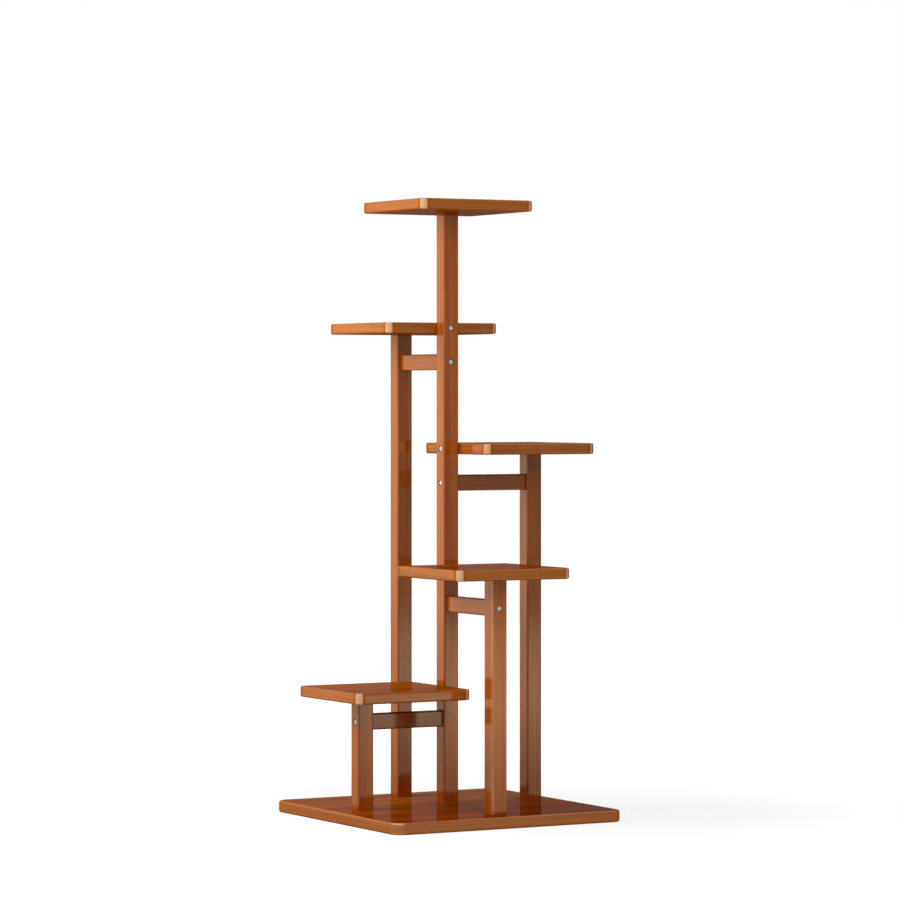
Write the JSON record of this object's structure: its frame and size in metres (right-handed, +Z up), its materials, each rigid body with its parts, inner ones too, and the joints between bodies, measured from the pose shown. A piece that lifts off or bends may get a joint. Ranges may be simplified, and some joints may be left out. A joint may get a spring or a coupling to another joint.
{
  "type": "tiered plant stand",
  "caption": "Wooden plant stand: a square base, a tall centre post with a shelf on top, and shorter posts round it whose square shelves climb like steps.",
  "frame": {"origin": "centre of the base board's underside, on the floor", "axes": "+Z up; the pictured front faces -Y and +X runs to its right"},
  "size_m": [0.42, 0.42, 0.957],
  "materials": {
    "wood": "gloss lacquer",
    "screws": "bright zinc"
  },
  "bodies": {
    "root": {"base_board": "wood", "centre_post": "wood", "top_shelf": "wood", "left_post": "wood", "left_shelf": "wood", "left_bar": "wood", "front_post": "wood", "front_shelf": "wood", "front_bar": "wood", "right_post": "wood", "right_shelf": "wood", "right_bar": "wood", "back_post": "wood", "back_shelf": "wood", "back_bar": "wood", "top_shelf_screw": "screws", "centre_post_foot_screw": "screws", "left_shelf_side_screw": "screws", "left_shelf_top_screw": "screws", "left_bar_inner_screw": "screws", "left_bar_outer_screw": "screws", "left_post_foot_screw": "screws", "front_shelf_side_screw": "screws", "front_shelf_top_screw": "screws", "front_bar_inner_screw": "screws", "front_bar_outer_screw": "screws", "front_post_foot_screw": "screws", "right_shelf_side_screw": "screws", "right_shelf_top_screw": "screws", "right_bar_inner_screw": "screws", "right_bar_outer_screw": "screws", "right_post_foot_screw": "screws", "back_shelf_side_screw": "screws", "back_shelf_top_screw": "screws", "back_bar_inner_screw": "screws", "back_bar_outer_screw": "screws", "back_post_foot_screw": "screws"}
  },
  "joints": []
}
